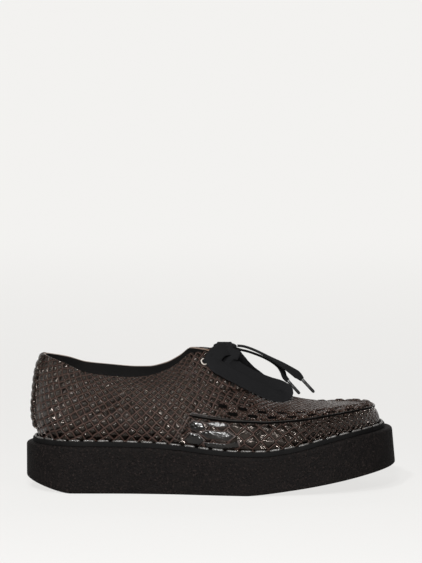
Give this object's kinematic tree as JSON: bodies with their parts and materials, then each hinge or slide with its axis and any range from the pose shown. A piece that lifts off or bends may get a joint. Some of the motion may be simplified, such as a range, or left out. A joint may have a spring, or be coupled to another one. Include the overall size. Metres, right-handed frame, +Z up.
{
  "type": "derby shoe",
  "caption": "Right derby shoe with a thick flat foam sole, stitched welt, embossed scaled leather upper, woven apron band and a tied flat lace.",
  "frame": {"origin": "Middle of the sole's outline, on the floor plane that the heel and the forefoot stand on.", "axes": "+X runs from the heel to the toe, +Y to the inner side of the foot, +Z up."},
  "size_m": [0.2998, 0.111, 0.1184],
  "materials": {
    "sole_foam": "matte black crepe foam with a fine speckle",
    "welt_black": "satin black welt strip",
    "lining": "matte black lining and sock",
    "scaled_leather": "glossy dark brown leather embossed with scales",
    "woven_leather": "glossy dark brown interlaced strips",
    "lace": "flat black woven cotton lace",
    "aglet": "black plastic tip"
  },
  "bodies": {
    "root": {"outsole": "sole_foam", "welt": "welt_black", "insole": "lining", "upper": "scaled_leather", "woven_band": "woven_leather", "backstay": "scaled_leather", "facing_outer": "scaled_leather", "facing_inner": "scaled_leather", "tongue": "scaled_leather", "lace_bar_upper": "lace", "lace_bar_lower": "lace", "lace_knot": "lace", "lace_loop_near": "lace", "lace_loop_far": "lace", "lace_end_first": "lace", "lace_end_second": "lace", "aglet_first": "aglet", "aglet_second": "aglet"}
  },
  "joints": []
}
